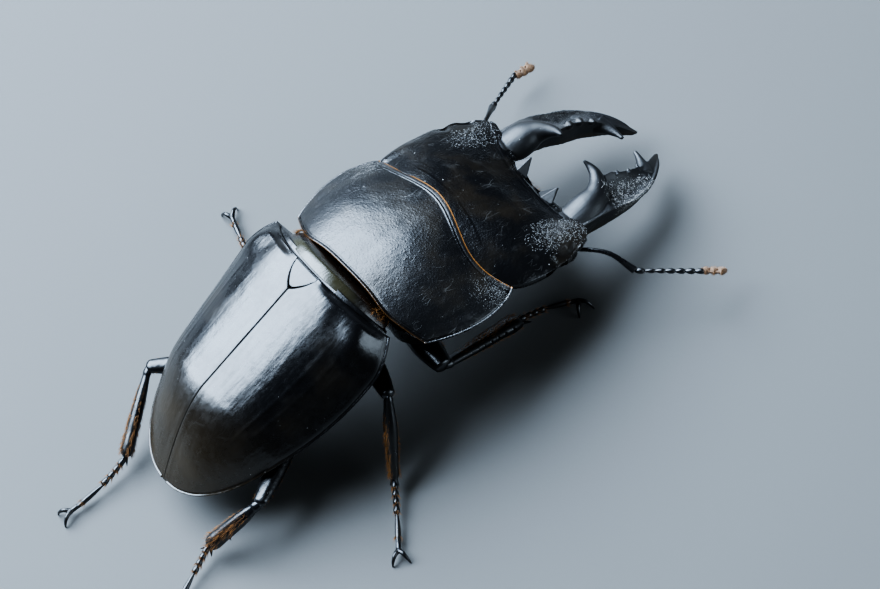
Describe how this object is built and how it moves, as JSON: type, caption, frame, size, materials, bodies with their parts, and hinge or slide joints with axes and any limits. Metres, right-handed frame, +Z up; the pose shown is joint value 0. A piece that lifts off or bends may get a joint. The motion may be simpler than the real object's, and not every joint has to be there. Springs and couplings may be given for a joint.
{
  "type": "stag beetle model",
  "caption": "Life-size black stag beetle, a large male with long toothed sickle jaws, standing still on the floor with its legs and feelers spread.",
  "frame": {"origin": "on the floor under the middle of the whole beetle's bounding box", "axes": "+Z up; the beetle faces -Y and its own left side is +X"},
  "size_m": [0.0552, 0.082, 0.0209],
  "materials": {
    "gloss_shell": "glossy black chitin, finely punctured",
    "satin_shell": "satin black chitin with a granular surface",
    "eye": "glossy black faceted eye",
    "club": "velvety tan feeler club"
  },
  "bodies": {
    "root": {"head": "satin_shell", "labrum": "gloss_shell", "mentum": "satin_shell", "eye_right": "eye", "mandible_right": "gloss_shell", "maxillary_palp_right": "gloss_shell", "labial_palp_right": "gloss_shell", "eye_left": "eye", "mandible_left": "gloss_shell", "maxillary_palp_left": "gloss_shell", "labial_palp_left": "gloss_shell", "pronotum": "satin_shell", "prosternum": "gloss_shell", "mesothorax": "gloss_shell", "scutellum": "gloss_shell", "metathorax": "gloss_shell", "abdomen": "gloss_shell", "elytron_right": "gloss_shell", "elytron_left": "gloss_shell", "antenna_scape_right": "gloss_shell", "antenna_funicle_right": "gloss_shell", "antenna_club_right": "club", "antenna_scape_left": "gloss_shell", "antenna_funicle_left": "gloss_shell", "antenna_club_left": "club", "coxa_front_right": "gloss_shell", "femur_front_right": "gloss_shell", "tibia_front_right": "gloss_shell", "tarsus_front_right": "gloss_shell", "claws_front_right": "gloss_shell", "coxa_front_left": "gloss_shell", "femur_front_left": "gloss_shell", "tibia_front_left": "gloss_shell", "tarsus_front_left": "gloss_shell", "claws_front_left": "gloss_shell", "coxa_middle_right": "gloss_shell", "femur_middle_right": "gloss_shell", "tibia_middle_right": "gloss_shell", "tarsus_middle_right": "gloss_shell", "claws_middle_right": "gloss_shell", "coxa_middle_left": "gloss_shell", "femur_middle_left": "gloss_shell", "tibia_middle_left": "gloss_shell", "tarsus_middle_left": "gloss_shell", "claws_middle_left": "gloss_shell", "coxa_hind_right": "gloss_shell", "femur_hind_right": "gloss_shell", "tibia_hind_right": "gloss_shell", "tarsus_hind_right": "gloss_shell", "claws_hind_right": "gloss_shell", "coxa_hind_left": "gloss_shell", "femur_hind_left": "gloss_shell", "tibia_hind_left": "gloss_shell", "tarsus_hind_left": "gloss_shell", "claws_hind_left": "gloss_shell"}
  },
  "joints": []
}
